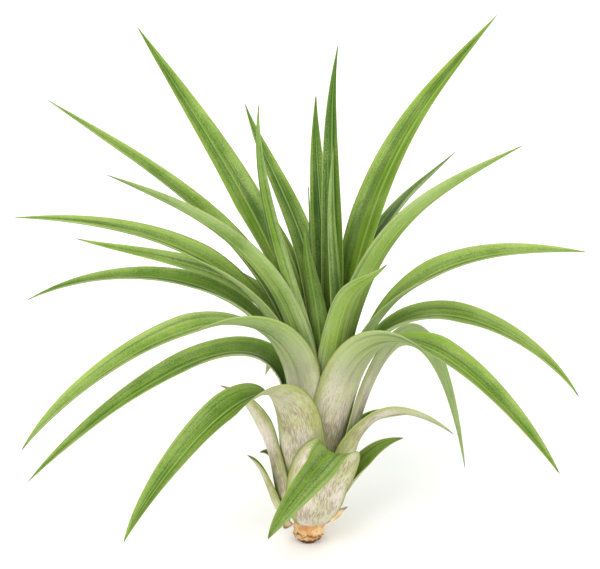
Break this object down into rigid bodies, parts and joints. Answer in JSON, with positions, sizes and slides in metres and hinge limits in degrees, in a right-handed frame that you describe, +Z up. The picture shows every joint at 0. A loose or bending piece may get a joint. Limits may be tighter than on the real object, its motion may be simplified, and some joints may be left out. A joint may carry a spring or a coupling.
{
  "type": "air plant",
  "caption": "Bare rosette air plant: long tapering channelled leaves sheathed round a short stem with a cut stub, leaning back so that its low rear leaves and the stub rest on the surface",
  "frame": {"origin": "centre of the stem's cut face, on the surface the plant rests on", "axes": "+Z up; +X along the plant's longest spread; +Y towards the side it leans to, so -Y is its front"},
  "size_m": [0.233, 0.1741, 0.1875],
  "materials": {
    "leaf": "matte, faintly felted",
    "dry_scale": "dry and papery",
    "stem": "raw cut end"
  },
  "bodies": {
    "root": {"leaf_back_1": "leaf", "leaf_back_2": "leaf", "leaf_back_3": "leaf", "leaf_back_4": "leaf", "leaf_front_1": "leaf", "leaf_front_2": "leaf", "leaf_left_1": "leaf", "leaf_left_10": "leaf", "leaf_left_11": "leaf", "leaf_left_2": "leaf", "leaf_left_3": "leaf", "leaf_left_4": "leaf", "leaf_left_5": "leaf", "leaf_left_6": "leaf", "leaf_left_7": "leaf", "leaf_left_8": "leaf", "leaf_left_9": "leaf", "leaf_right_1": "leaf", "leaf_right_2": "leaf", "leaf_right_3": "leaf", "leaf_right_4": "leaf", "leaf_right_5": "leaf", "leaf_right_6": "leaf", "leaf_right_7": "leaf", "leaf_right_8": "leaf", "leaf_top_1": "leaf", "leaf_top_10": "leaf", "leaf_top_11": "leaf", "leaf_top_2": "leaf", "leaf_top_3": "leaf", "leaf_top_4": "leaf", "leaf_top_5": "leaf", "leaf_top_6": "leaf", "leaf_top_7": "leaf", "leaf_top_8": "leaf", "leaf_top_9": "leaf", "scale_back": "dry_scale", "scale_front": "dry_scale", "scale_left": "dry_scale", "stem": "stem"}
  },
  "joints": []
}
